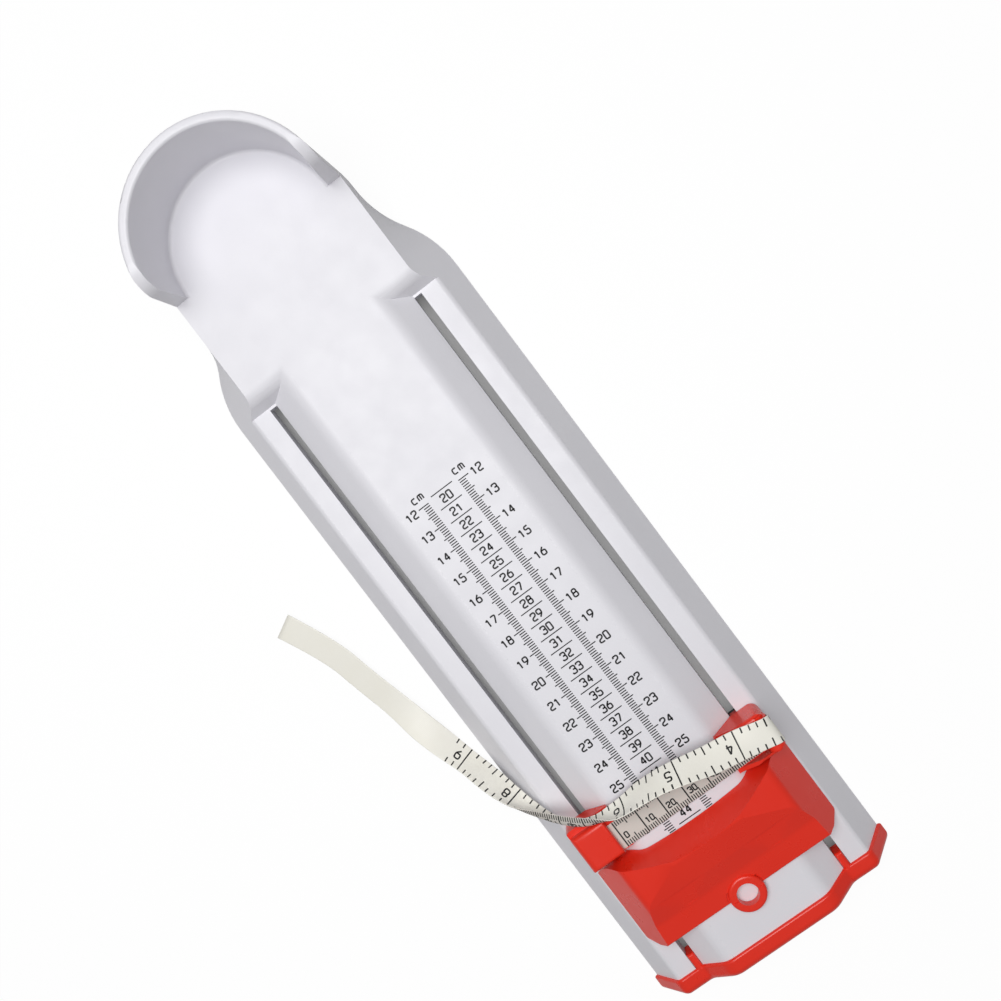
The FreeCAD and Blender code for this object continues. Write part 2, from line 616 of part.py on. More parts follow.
def drag_spring(side, leg):
    """A bowed leaf spring that lies in its trough and rubs under the guide lip."""
    middle = (leg[0] + leg[1]) / 2
    low = KEEPER_TOP - SPRING_BOW
    high = LIP_BOTTOM - PAD_CLEAR
    x = spring_x(side) - SPRING_WIDTH / 2
    ends = [V(x, middle + s * spring_reach(leg), low + SPRING_THICK) for s in (-1, 1)]
    upper = [ends[0], V(x, middle, high), ends[1]]
    lower = [p - V(0, 0, SPRING_THICK) for p in upper]
    edges = [
        Part.Arc(*upper).toShape(),
        Part.makeLine(upper[2], lower[2]),
        Part.Arc(*reversed(lower)).toShape(),
        Part.makeLine(lower[0], upper[0]),
    ]
    return Part.Face(Part.Wire(edges)).extrude(V(SPRING_WIDTH, 0, 0))


# ---------------------------------------------------------------- tape slider
def block_plan(side, extent):
    """The room of a block in plan, with its two upright outer corners rounded."""
    outer = side * SLIDER_HALF
    plan = [
        (0, extent[0]),
        (outer, extent[0], BLOCK_CORNER_R),
        (outer, extent[1], BLOCK_CORNER_R),
        (0, extent[1]),
    ]
    return prism(plan, xy(0), V(0, 0, FAR))


def block_body(side, corners, extent):
    """A block of the tape slider: a drawn section over one rail, open where it straddles the bed."""
    body = prism(corners, xz(extent[0]), V(0, extent[1] - extent[0], 0))
    body = body.common(block_plan(side, extent))
    return body.cut(saddle_underside(extent[0] - 1, extent[1] + 1, RUN))


def softened(block, rear, front, top):
    """A block with the upper edges of its rear and its front rounded."""
    lengthwise = [
        (rear, 0),
        (rear, top, BLOCK_EDGE_R),
        (front, top, BLOCK_EDGE_R),
        (front, 0),
    ]
    return block.common(prism(lengthwise, yz(-FAR), V(2 * FAR, 0, 0)))


def with_screw_holes(block, side):
    holes = [post(SCREW_R + SCREW_CLEAR, side * SLOT_X, y, 0, KEEPER_TOP - KEEPER_THICK + SCREW_GRIP)
             for y in leg_screw_ys(TAPE_LEG)]
    return block.cut(holes)


def foot_top():
    return BED_TOP + RUN + FOOT_THICK


def tape_clamp_block():
    """The left block. The tape's end lies on its flat top, under the clamp cap."""
    corners = [
        (-SLIDER_HALF, RAIL_TOP),
        (-clamp_side_x(foot_top()), foot_top()),
        (-TAPE_FOOT_X, foot_top()),
        (-TAPE_FOOT_X, RAIL_TOP),
    ]
    block = joined(block_body(-1, corners, CLAMP_BLOCK), slider_leg(-1, TAPE_LEG))
    return with_screw_holes(block, -1)


def clamp_side_x(z):
    """The outer side of the left block leans in towards the clamp cap's top."""
    return SLIDER_HALF - (SLIDER_HALF - CLAMP_OUT_TOP_X) * (z - RAIL_TOP) / (CLAMP_TOP - RAIL_TOP)


def tape_clamp_cap():
    """The rounded cap that presses the zero end of the tape onto the left block."""
    corners = [
        (-clamp_side_x(foot_top()), foot_top()),
        (-CLAMP_OUT_TOP_X, CLAMP_TOP, 3.0),
        (-CLAMP_IN_X, CLAMP_TOP, 1.0),
        (-CLAMP_IN_X, foot_top()),
    ]
    rear, front = CLAMP_BLOCK[0], CLAMP_BLOCK[1] - CLAMP_CAP_SHORT
    cap = prism(corners, xz(rear), V(0, front - rear, 0))
    cap = softened(cap.common(block_plan(-1, (rear, front))), rear, front, CLAMP_TOP)
    room_top = TAPE_LOW_Z + TAPE_THICK / 2 + TAPE_GAP
    room_front = TAPE_FRONT_Y + TAPE_SIDE_GAP
    return cap.cut(box(-CLAMP_IN_X - CLAMP_DEPTH, -CLAMP_IN_X + 1, -FAR, room_front, 0, room_top))


def tape_guide_block():
    """The right block: two cheeks with the guide pin between them, over a floor for the tape."""
    corners = [
        (TAPE_FOOT_X, RAIL_TOP),
        (SLIDER_HALF, RAIL_TOP),
        (SLIDER_HALF, CHEEK_TOP, 3.5),
        (CHEEK_IN_X, CHEEK_TOP, 3.0),
        (TAPE_FOOT_X + 1.5, foot_top(), 3.0),
        (TAPE_FOOT_X, foot_top()),
    ]
    block = softened(block_body(1, corners, GUIDE_BLOCK), *GUIDE_BLOCK, CHEEK_TOP)
    channel = box(0, FAR, *GUIDE_CHANNEL, foot_top(), FAR)
    pin_hole = pin_cylinder(JOURNAL_R + 0.05, JOURNAL + 0.1)
    block = joined(block.cut([channel, pin_hole]), slider_leg(1, TAPE_LEG))
    return with_screw_holes(block, 1)


def pin_cylinder(radius, beyond):
    """A cylinder on the pin's axis that ends this far beyond the room between the cheeks."""
    rear, front = GUIDE_CHANNEL[0] - beyond, GUIDE_CHANNEL[1] + beyond
    return Part.makeCylinder(radius, front - rear, V(PIN_X, rear, PIN_Z), V(0, 1, 0))


def tape_guide_pin():
    """The round bar that the tape is wrapped over, with thinner journals in the cheeks."""
    return joined(pin_cylinder(PIN_R, -0.15), pin_cylinder(JOURNAL_R, JOURNAL))


def slider_crossbar():
    """The flat bar under the bed that makes the two tape blocks move as one."""
    z0, z1 = KEEPER_TOP - KEEPER_THICK, KEEPER_TOP
    reach = SLOT_X + KEEPER_HALF
    middle = (TAPE_LEG[0] + TAPE_LEG[1]) / 2
    bar = box(-reach, reach, middle - CROSSBAR_WIDTH / 2, middle + CROSSBAR_WIDTH / 2, z0, z1)
    ends = [box(s * SLOT_X - KEEPER_HALF, s * SLOT_X + KEEPER_HALF, *TAPE_LEG, z0, z1) for s in (-1, 1)]
    stiffener = box(-SLOT_IN + 6, SLOT_IN - 6, middle - RIB / 2, middle + RIB / 2, z1 - 0.5, z1 + 3)
    bar = joined(bar, *ends, stiffener)
    cuts = [spring_trough(s, TAPE_LEG) for s in (-1, 1)]
    for y in leg_screw_ys(TAPE_LEG):
        cuts += [post(SCREW_R + SCREW_CLEAR, s * SLOT_X, y, 0, FAR) for s in (-1, 1)]
    return bar.cut(cuts)


# ---------------------------------------------------------------- girth tape
TAPE_DRIFT = 1.8  # the tape leaves the pin this much nearer the heel than it came
# The loose run, over the bed, past the left block on its edge and down to the table: each pole of
# its smooth line is followed by the tape's turn about that line, in degrees, with its right edge up.
LOOSE_RUN = [
    ((30.0, -111.0, 31.4), -2),
    ((17.5, -108.3, 31.5), 0),
    ((4.5, -105.5, 33.3), 12),
    ((-5.5, -104.0, 32.7), 20),
    ((-15.0, -106.0, 29.6), 29),
    ((-20.9, -103.9, 31.2), 38),
    ((-26.3, -103.4, 33.4), 45),
    ((-33.8, -99.5, 33.7), 82),
    ((-38.8, -97.2, 28.8), 88),
    ((-42.3, -94.0, 27.6), 81),
    ((-45.0, -89.5, 19.6), 42),
    ((-53.2, -86.2, 12.2), 34),
    ((-55.4, -81.8, 10.2), 16),
    ((-59.2, -72.9, 6.8), 8),
    ((-63.4, -60.7, 3.8), 5),
    ((-67.5, -44.8, 2.5), 6),
    ((-71.8, -27.9, 2.1), 12),
    ((-76.3, -11.1, 2.0), 14),
    ((-80.2, 6.7, 1.8), 13),
    ((-90.0, 26.3, 1.3), 10),
]


def tape_stations():
    """Points down the middle of the tape from its clamped zero end, each with its direction across.

    The lower run lies straight over the bed, and the tape goes round the pin in half a turn.
    """
    flat = V(0, 1, 0)
    low_z = PIN_Z - TAPE_LOOP
    start_x = -CLAMP_IN_X - CLAMP_DEPTH + 1
    stations = [(V(start_x, TAPE_Y, low_z), flat), (V(PIN_X, TAPE_Y, low_z), flat)]
    steps = 8
    for i in range(1, steps + 1):
        angle = math.pi * i / steps
        x, y = PIN_X + TAPE_LOOP * math.sin(angle), TAPE_Y + TAPE_DRIFT * i / steps
        point = V(x, y, PIN_Z - TAPE_LOOP * math.cos(angle))
        stations.append((point, flat))
    return stations + loose_stations(stations[-1][0])


def loose_stations(start):
    """Stations along the loose run, read from two smooth curves: its middle and its right edge."""
    middles, edges = [start], [start + V(0, TAPE_WIDTH / 2, 0)]
    places = [V(*place) for place, turn in LOOSE_RUN]
    for i, (place, turn) in enumerate(LOOSE_RUN):
        ahead = places[min(i + 1, len(places) - 1)] - middles[-1]
        right = ahead.cross(V(0, 0, 1)).normalize()
        up = right.cross(ahead).normalize()
        angle = math.radians(turn)
        middles.append(places[i])
        edges.append(places[i] + (right * math.cos(angle) + up * math.sin(angle)) * (TAPE_WIDTH / 2))
    middle, edge = Part.BSplineCurve(), Part.BSplineCurve()
    middle.buildFromPoles(middles, False, 2)
    edge.buildFromPoles(edges, False, 2)
    stations = []
    for i in range(1, 2 * len(middles) + 1):
        at = middle.LastParameter * i / (2 * len(middles))
        line = V(*middle.tangent(at)[0])
        across = edge.value(at) - middle.value(at)
        stations.append((middle.value(at), (across - line * across.dot(line)).normalize()))
    return stations


def measuring_tape():
    """A plain flat ribbon through the stations, made as a ruled loft of thin rectangles."""
    stations = tape_stations()
    wires = []
    for i, (point, across) in enumerate(stations):
        ahead = stations[min(i + 1, len(stations) - 1)][0] - stations[max(i - 1, 0)][0]
        side = across * (TAPE_WIDTH / 2)
        up = across.cross(ahead).normalize() * (TAPE_THICK / 2)
        ring = [point - side - up, point + side - up, point + side + up, point - side + up]
        wires.append(Part.makePolygon(ring + ring[:1]))
    tape = Part.makeLoft(wires, True, True)
    length = sum((stations[i + 1][0] - stations[i][0]).Length for i in range(len(stations) - 1))
    share = abs(tape.Volume) / (length * TAPE_WIDTH * TAPE_THICK)
    print(f"tape: length {length:.1f}, volume over section times length {share:.3f}")
    return tape


# ---------------------------------------------------------------- write every node
def build():
    nodes = {"base_shell": base_shell(), "end_cap": end_cap()}
    lug_z = LIP_BOTTOM - LUG_SIZE[2]
    cap_screws = [screw(s * LUG_X, LUG_SCREW_Y, lug_z) for s in (-1, 1)]
    nodes["end_cap_screws"] = Part.Compound(cap_screws)
    for name, x, y in pad_places():
        nodes[name] = foot_pad(x, y)
    nodes["toe_slider"] = toe_slider()
    seat = KEEPER_TOP - KEEPER_THICK
    for name, side in (("left", -1), ("right", 1)):
        nodes[f"toe_keeper_{name}"] = keeper(side, TOE_LEG)
        nodes[f"toe_drag_spring_{name}"] = drag_spring(side, TOE_LEG)
        nodes[f"tape_drag_spring_{name}"] = drag_spring(side, TAPE_LEG)
    for name, leg in (("toe_keeper_screws", TOE_LEG), ("crossbar_screws", TAPE_LEG)):
        screws = [screw(s * SLOT_X, y, seat) for s in (-1, 1) for y in leg_screw_ys(leg)]
        nodes[name] = Part.Compound(screws)
    nodes["tape_clamp_block"] = tape_clamp_block()
    nodes["tape_clamp_cap"] = tape_clamp_cap()
    nodes["tape_guide_block"] = tape_guide_block()
    nodes["tape_guide_pin"] = tape_guide_pin()
    nodes["slider_crossbar"] = slider_crossbar()
    nodes["measuring_tape"] = measuring_tape()
    return nodes


os.makedirs("parts", exist_ok=True)
for node, shape in build().items():
    print(node, "solids", len(shape.Solids), "valid", shape.isValid(), "volume", round(shape.Volume, 1))
    shape.exportStep(f"parts/{node}.step")
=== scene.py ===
import bmesh
import bpy
import numpy as np
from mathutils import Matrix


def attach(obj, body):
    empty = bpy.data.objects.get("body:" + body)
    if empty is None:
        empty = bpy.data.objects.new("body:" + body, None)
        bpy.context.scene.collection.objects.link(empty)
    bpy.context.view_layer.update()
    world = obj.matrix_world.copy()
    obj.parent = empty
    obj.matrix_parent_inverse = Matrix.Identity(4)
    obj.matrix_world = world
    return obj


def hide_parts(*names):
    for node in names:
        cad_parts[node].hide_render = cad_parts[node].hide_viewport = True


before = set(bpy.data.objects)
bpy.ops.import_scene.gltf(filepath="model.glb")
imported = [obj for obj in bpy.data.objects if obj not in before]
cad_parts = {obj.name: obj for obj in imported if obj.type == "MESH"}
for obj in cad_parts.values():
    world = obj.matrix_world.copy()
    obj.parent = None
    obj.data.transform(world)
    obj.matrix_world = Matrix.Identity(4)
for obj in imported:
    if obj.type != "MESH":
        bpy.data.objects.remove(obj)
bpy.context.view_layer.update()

# A foot measuring device: a white moulded bed with a heel cup, a red toe slider with a reading ring,
# and a soft tape for the girth on a small slider of its own. Metres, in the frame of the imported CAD.

# ---------------------------------------------------------------- camera
# A plain camera above the device, turned so that the heel points away to the left.
lens = bpy.data.cameras.new("camera")
lens.lens = 37.48
camera = bpy.data.objects.new("camera", lens)
camera.location = (0.05087, 0.02934, 0.41476)
camera.rotation_euler = np.radians((-4.912, 2.995, -37.121))
bpy.context.scene.collection.objects.link(camera)
bpy.context.scene.camera = camera

# ---------------------------------------------------------------- base moulding
# The bed, its two rails and the heel cup are one injection moulding in white ABS, open underneath
# and ribbed. Its faces carry a fine spark-eroded texture, and thick places have sunk a little.


def paint(code):
    """The linear colour that a shader takes, from an sRGB hex code."""
    srgb = np.array([int(code[i : i + 2], 16) for i in (1, 3, 5)]) / 255
    linear = np.where(srgb <= 0.04045, srgb / 12.92, ((srgb + 0.055) / 1.055) ** 2.4)
    return (*linear, 1.0)


def add(material, kind, inputs, **settings):
    """Adds one node: settings are its properties, and each input is a value or a socket to link."""
    node = material.node_tree.nodes.new(kind)
    for name, value in settings.items():
        setattr(node, name, value)
    for name, value in inputs.items():
        if isinstance(value, bpy.types.NodeSocket):
            material.node_tree.links.new(value, node.inputs[name])
        else:
            node.inputs[name].default_value = value
    return node


def moulded_abs(name, colour, flow_colour, roughness, grain):
    """Injection-moulded ABS: satin, with slow flow marks, a fine eroded grain and sunken patches.

    The colour drifts between two near tones over about 35 mm, the gloss over about 9 mm, and the
    grain is 0.4 mm wide, coarser than the real 0.1 mm so that it shows.
    """
    material = bpy.data.materials.new(name)
    material.use_nodes = True
    material.node_tree.nodes.clear()
    place = add(material, "ShaderNodeTexCoord", {}).outputs["Object"]
    flow = add(material, "ShaderNodeTexNoise", {"Vector": place, "Scale": 1 / 0.035, "Detail": 3.0})
    gloss = add(material, "ShaderNodeTexNoise", {"Vector": place, "Scale": 1 / 0.009, "Detail": 4.0})
    grit = add(material, "ShaderNodeTexNoise", {"Vector": place, "Scale": 1 / 0.0004, "Detail": 2.0})
    sink = add(material, "ShaderNodeTexNoise", {"Vector": place, "Scale": 1 / 0.022, "Detail": 1.0})
    tone = add(
        material,
        "ShaderNodeMix",
        {0: flow.outputs["Fac"], 6: paint(colour), 7: paint(flow_colour)},
        data_type="RGBA",
    )
    rough = add(
        material,
        "ShaderNodeMapRange",
        {
            "Value": gloss.outputs["Fac"],
            "From Min": 0.3,
            "From Max": 0.7,
            "To Min": roughness - 0.05,
            "To Max": roughness + 0.05,
        },
    )
    dents = add(
        material,
        "ShaderNodeBump",
        {"Height": sink.outputs["Fac"], "Strength": 1.0, "Distance": 0.00008},
    )
    skin = add(
        material,
        "ShaderNodeBump",
        {
            "Height": grit.outputs["Fac"],
            "Strength": grain,
            "Distance": 0.00003,
            "Normal": dents.outputs["Normal"],
        },
    )
    shader = add(
        material,
        "ShaderNodeBsdfPrincipled",
        {
            "Base Color": tone.outputs[2],
            "Roughness": rough.outputs["Result"],
            "Normal": skin.outputs["Normal"],
            "IOR": 1.53,
        },
    )
    add(material, "ShaderNodeOutputMaterial", {"Surface": shader.outputs["BSDF"]})
    return material


def smooth_copy(name, node, body, material, crease=32):
    """A CAD piece with its loose triangles joined, so that its roundings shade as one surface.

    Edges that turn by more than `crease` degrees stay sharp, and flat faces keep their own normals.
    """
    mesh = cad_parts[node].data.copy()
    mesh.name = name
    mesh.attributes.remove(mesh.attributes["custom_normal"])
    joined = bmesh.new()
    joined.from_mesh(mesh)
    bmesh.ops.remove_doubles(joined, verts=joined.verts, dist=2e-6)
    joined.to_mesh(mesh)
    joined.free()
    mesh.shade_smooth()
    mesh.set_sharp_from_angle(angle=np.radians(crease))
    mesh.materials.clear()
    mesh.materials.append(material)
    piece = bpy.data.objects.new(name, mesh)
    bpy.context.scene.collection.objects.link(piece)
    evened = piece.modifiers.new("even_faces", "WEIGHTED_NORMAL")
    evened.keep_sharp = True
    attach(piece, body)
    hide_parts(node)
    return piece


white_abs = moulded_abs("moulded_white_abs", "#EAE9EE", "#E2E1E7", 0.42, 0.35)
smooth_copy("base_moulding", "base_shell", "base", white_abs)

# ---------------------------------------------------------------- printed scales
# Two centimetre scales for the length stand either side of a column of shoe sizes. They are pad
# printed on the flat of the bed in one pass of dark grey ink, about 0.02 mm thick.

# Figures on a grid one unit high, as lines whose corners the pen rounds.
FIGURES = {
    "0": [[(0.29, 0), (0.58, 0), (0.58, 1), (0, 1), (0, 0), (0.29, 0)]],
    "1": [[(0.08, 0.76), (0.32, 1), (0.32, 0)]],
    "2": [[(0, 0.76), (0, 1), (0.58, 1), (0.58, 0.56), (0, 0.36), (0, 0), (0.6, 0)]],
    "3": [
        [(0, 0.8), (0, 1), (0.58, 1), (0.58, 0.54), (0.2, 0.54)],
        [(0.4, 0.54), (0.58, 0.54), (0.58, 0), (0, 0), (0, 0.2)],
    ],
    "4": [[(0.46, 0), (0.46, 1), (0, 0.28), (0.62, 0.28)]],
    "5": [[(0.56, 1), (0.06, 1), (0.02, 0.58), (0.58, 0.58), (0.58, 0), (0, 0), (0, 0.2)]],
    "6": [[(0.44, 1), (0, 0.56), (0, 0), (0.58, 0), (0.58, 0.58), (0.06, 0.58)]],
    "7": [[(0, 1), (0.58, 1), (0.58, 0.8), (0.2, 0)]],
    "8": [
        [(0.29, 0.54), (0.54, 0.54), (0.54, 1), (0.04, 1), (0.04, 0.54), (0.29, 0.54)],
        [(0.29, 0.54), (0.58, 0.54), (0.58, 0), (0, 0), (0, 0.54), (0.29, 0.54)],
    ],
    "9": [[(0.14, 0), (0.58, 0.44), (0.58, 1), (0, 1), (0, 0.42), (0.52, 0.42)]],
    "c": [[(0.52, 0.66), (0, 0.66), (0, 0), (0.52, 0)]],
    "m": [[(0, 0), (0, 0.66), (0.62, 0.66), (0.62, 0)], [(0.31, 0.66), (0.31, 0)]],
}
CORNER = 0.2  # rounding of a corner, as a share of a figure's height
ADVANCE = 0.86  # from one figure to the next
FIGURE_WIDTH = 0.58


def figure_lines(word, middle, height, pen):
    """The pen strokes of a number, centred on a point: each is a run of points and a width.

    A corner becomes a curve (1-t)^2 a + 2t(1-t) p + t^2 b between points a and b on its two legs.
    """
    strokes = []
    width = ADVANCE * (len(word) - 1) + FIGURE_WIDTH
    for place, letter in enumerate(word):
        for outline in FIGURES[letter]:
            p = np.array(outline, float)
            legs = np.diff(p, axis=0)
            size = np.linalg.norm(legs, axis=1, keepdims=True)
            step = legs / size * np.minimum(CORNER, 0.45 * size)
            a, b = p[1:-1] - step[:-1], p[1:-1] + step[1:]
            t = np.linspace(0, 1, 5)[None, :, None]
            bend = (1 - t) ** 2 * a[:, None] + 2 * t * (1 - t) * p[1:-1, None] + t**2 * b[:, None]
            line = np.vstack([p[:1], bend.reshape(-1, 2), p[-1:]])
            line = line + (place * ADVANCE - width / 2, -0.5)
            strokes.append((np.array(middle) + line * height, pen))
    return strokes


def ink_film(name, strokes, place, body, material):
    """Printed strokes as closed films: each line is set off by half its width to both sides.

    `place` takes points on the print's own plane and a height above it, and gives points in space.
    """
    corners, quads, count = [], [], 0
    for line, width in strokes:
        step = np.gradient(line, axis=0)
        step /= np.linalg.norm(step, axis=1, keepdims=True)
        side = np.stack([-step[:, 1], step[:, 0]], 1) * width / 2
        left, right = line + side, line - side
        low, high = INK_LIFT, INK_LIFT + INK_THICK
        ring = [place(left, low), place(right, low), place(right, high), place(left, high)]
        corners.append(np.stack(ring, 1).reshape(-1, 3))
        row = np.arange(len(line) - 1)[:, None] * 4 + count
        k = np.arange(4)[None, :]
        following = (k + 1) % 4
        sides = [row + k, row + k + 4, row + following + 4, row + following]
        quads.append(np.stack(sides, -1).reshape(-1, 4))
        end = count + 4 * (len(line) - 1)
        quads.append(np.array([[count, count + 1, count + 2, count + 3], [end + 3, end + 2, end + 1, end]]))
        count += 4 * len(line)
    mesh = bpy.data.meshes.new(name)
    mesh.from_pydata(np.vstack(corners), [], np.vstack(quads))
    mesh.materials.append(material)
    piece = bpy.data.objects.new(name, mesh)
    bpy.context.scene.collection.objects.link(piece)
    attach(piece, body)
    return piece


def printed_ink(name, colour, worn_colour):
    """Pad-printing ink: matt, with the slight thin spots a soft pad leaves about 0.8 mm across."""
    material = bpy.data.materials.new(name)
    material.use_nodes = True
    material.node_tree.nodes.clear()
    place = add(material, "ShaderNodeTexCoord", {}).outputs["Object"]
    cover = add(material, "ShaderNodeTexNoise", {"Vector": place, "Scale": 1 / 0.0008, "Detail": 3.0})
    thin = add(
        material,
        "ShaderNodeMapRange",
        {"Value": cover.outputs["Fac"], "From Min": 0.5, "From Max": 0.75, "To Min": 0.0, "To Max": 1.0},
    )
    tone = add(
        material,
        "ShaderNodeMix",
        {0: thin.outputs["Result"], 6: paint(colour), 7: paint(worn_colour)},
        data_type="RGBA",
    )
    rough = add(
        material,
        "ShaderNodeMapRange",
        {"Value": cover.outputs["Fac"], "From Min": 0.3, "From Max": 0.7, "To Min": 0.5, "To Max": 0.65},
    )
    shader = add(
        material,
        "ShaderNodeBsdfPrincipled",
        {"Base Color": tone.outputs[2], "Roughness": rough.outputs["Result"], "IOR": 1.5},
    )
    add(material, "ShaderNodeOutputMaterial", {"Surface": shader.outputs["BSDF"]})
    return material


INK_LIFT = 0.00001  # keeps the ink clear of what it is printed on
INK_THICK = 0.00002
BED_TOP = 0.0235
PRINT_X = -0.0011  # middle of the print
FIRST_CM, LAST_CM = 12, 28
FIRST_CM_Y = 0.0304
TICK_X = 0.00712  # inner end of every tick, from the middle of the print
CM_TICK, HALF_TICK, MM_TICK = 0.0047, 0.0039, 0.0029
TICK_PEN = 0.00044
FIGURE_HEIGHT = 0.0031
FIGURE_PEN = 0.00064
CM_FIGURE_X = 0.0154  # middle of the centimetre numbers
CM_FIGURE_DROP = 0.0004
UNIT_X, UNIT_RISE = 0.0097, 0.0042  # place of the mark "cm", from the first line
UNIT_HEIGHT, UNIT_PEN = 0.0032, 0.0006
SIZES = range(20, 46)
SIZE_STEP = 0.006306  # shoe sizes are 2/3 cm apart, less the stretch of the print
SIZE_Y = 0.0254  # line below size 20
SIZE_LINE_X = 0.005  # half the length of a line between two sizes
SIZE_LINE_PEN = 0.00042
SIZE_FIGURE_RISE = 0.0031

scale = []
for side in (-1, 1):
    for mm in range(10 * (LAST_CM - FIRST_CM) + 1):
        length = CM_TICK if mm % 10 == 0 else HALF_TICK if mm % 5 == 0 else MM_TICK
        y = FIRST_CM_Y - mm * 0.001
        x = np.array([TICK_X, TICK_X + length]) * side + PRINT_X
        scale.append((np.stack([x, np.full(2, y)], 1), TICK_PEN))
    for cm in range(FIRST_CM, LAST_CM + 1):
        middle = (PRINT_X + side * CM_FIGURE_X, FIRST_CM_Y - 0.01 * (cm - FIRST_CM) - CM_FIGURE_DROP)
        scale += figure_lines(str(cm), middle, FIGURE_HEIGHT, FIGURE_PEN)
    middle = (PRINT_X + side * UNIT_X, FIRST_CM_Y + UNIT_RISE)
    scale += figure_lines("cm", middle, UNIT_HEIGHT, UNIT_PEN)
for size in (SIZES[0] - 1, *SIZES):
    y = SIZE_Y - SIZE_STEP * (size - SIZES[0])
    ends = np.array([(PRINT_X - SIZE_LINE_X, y), (PRINT_X + SIZE_LINE_X, y)])
    scale.append((ends, SIZE_LINE_PEN))
    if size in SIZES:
        scale += figure_lines(str(size), (PRINT_X, y + SIZE_FIGURE_RISE), FIGURE_HEIGHT, FIGURE_PEN)

scale_ink = printed_ink("pad_printing_ink", "#101013", "#1E1E22")
bed_print = ink_film(
    "bed_scale_print",
    scale,
    lambda flat, height: np.column_stack([flat, np.full(len(flat), BED_TOP + height)]),
    "base",
    scale_ink,
)

# ---------------------------------------------------------------- end cap
# A thin red ABS cap closes the toe end and locks the sliders in. Two nubs plug the slots, and two
# pan-head screws under the bed hold it to the moulding.
red_abs = moulded_abs("moulded_red_abs", "#F0331F", "#E92D1A", 0.3, 0.2)
smooth_copy("end_cap_moulding", "end_cap", "base", red_abs)


def turned_steel(name, colour, roughness, ring):
    """Zinc-plated steel: bright, with fine turning or drawing marks, each about 0.1 mm apart."""
    material = bpy.data.materials.new(name)
    material.use_nodes = True
    material.node_tree.nodes.clear()
    place = add(material, "ShaderNodeTexCoord", {}).outputs["Object"]
    marks = add(material, "ShaderNodeTexNoise", {"Vector": place, "Scale": 1 / ring, "Detail": 3.0})
    cloud = add(material, "ShaderNodeTexNoise", {"Vector": place, "Scale": 1 / 0.0015, "Detail": 3.0})
    tone = add(
        material,
        "ShaderNodeMix",
        {0: cloud.outputs["Fac"], 6: paint(colour), 7: paint("#8F9092")},
        data_type="RGBA",
    )
    rough = add(
        material,
        "ShaderNodeMapRange",
        {
            "Value": cloud.outputs["Fac"],
            "From Min": 0.3,
            "From Max": 0.7,
            "To Min": roughness - 0.08,
            "To Max": roughness + 0.08,
        },
    )
    scratches = add(
        material,
        "ShaderNodeBump",
        {"Height": marks.outputs["Fac"], "Strength": 0.3, "Distance": 0.00002},
    )
    shader = add(
        material,
        "ShaderNodeBsdfPrincipled",
        {
            "Base Color": tone.outputs[2],
            "Metallic": 1.0,
            "Roughness": rough.outputs["Result"],
            "Normal": scratches.outputs["Normal"],
        },
    )
    add(material, "ShaderNodeOutputMaterial", {"Surface": shader.outputs["BSDF"]})
    return material


zinc_steel = turned_steel("zinc_plated_steel", "#BFC1C3", 0.32, 0.0001)
for node in ("end_cap_screws", "toe_keeper_screws", "crossbar_screws"):
    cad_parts[node].data.materials[0] = zinc_steel

# ---------------------------------------------------------------- rubber feet
# Six small black rubber discs are pressed into bosses under the moulding and stand on the table.
pad_rubber = bpy.data.materials.new("pressed_rubber")
pad_rubber.use_nodes = True
pad_rubber.node_tree.nodes.clear()
place = add(pad_rubber, "ShaderNodeTexCoord", {}).outputs["Object"]
crumb = add(pad_rubber, "ShaderNodeTexNoise", {"Vector": place, "Scale": 1 / 0.0005, "Detail": 4.0})
bloom = add(pad_rubber, "ShaderNodeTexNoise", {"Vector": place, "Scale": 1 / 0.004, "Detail": 3.0})
tone = add(
    pad_rubber,
    "ShaderNodeMix",
    {0: bloom.outputs["Fac"], 6: paint("#2A2A2B"), 7: paint("#3B3B3A")},
    data_type="RGBA",
)
rubber_skin = add(
    pad_rubber,
    "ShaderNodeBump",
    {"Height": crumb.outputs["Fac"], "Strength": 0.5, "Distance": 0.00005},
)
shader = add(
    pad_rubber,
    "ShaderNodeBsdfPrincipled",
    {
        "Base Color": tone.outputs[2],
        "Roughness": 0.85,
        "IOR": 1.52,
        "Normal": rubber_skin.outputs["Normal"],
    },
)
add(pad_rubber, "ShaderNodeOutputMaterial", {"Surface": shader.outputs["BSDF"]})
for row in ("toe", "mid", "heel"):
    for side in ("left", "right"):
        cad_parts[f"foot_pad_{row}_{side}"].data.materials[0] = pad_rubber

# ---------------------------------------------------------------- toe slider
# The red toe slider is a hollow ABS moulding. The toes meet its curved front face, the thumb rests
# in the scooped back, and the size is read through its ring.
smooth_copy("toe_slider_moulding", "toe_slider", "toe_stop", red_abs, crease=18)

# ---------------------------------------------------------------- keepers and drag springs
# Under the rails, black ABS keeper plates screwed to the slider's legs hold it down, and bowed
# steel strips on their sides give the sliding friction.
black_abs = moulded_abs("moulded_black_abs", "#2B2B2D", "#323234", 0.5, 0.5)
spring_steel = turned_steel("spring_steel_strip", "#A9AAAB", 0.3, 0.00015)
for side in ("left", "right"):
    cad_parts[f"toe_keeper_{side}"].data.materials[0] = black_abs
    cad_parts[f"toe_drag_spring_{side}"].data.materials[0] = spring_steel
    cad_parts[f"tape_drag_spring_{side}"].data.materials[0] = spring_steel

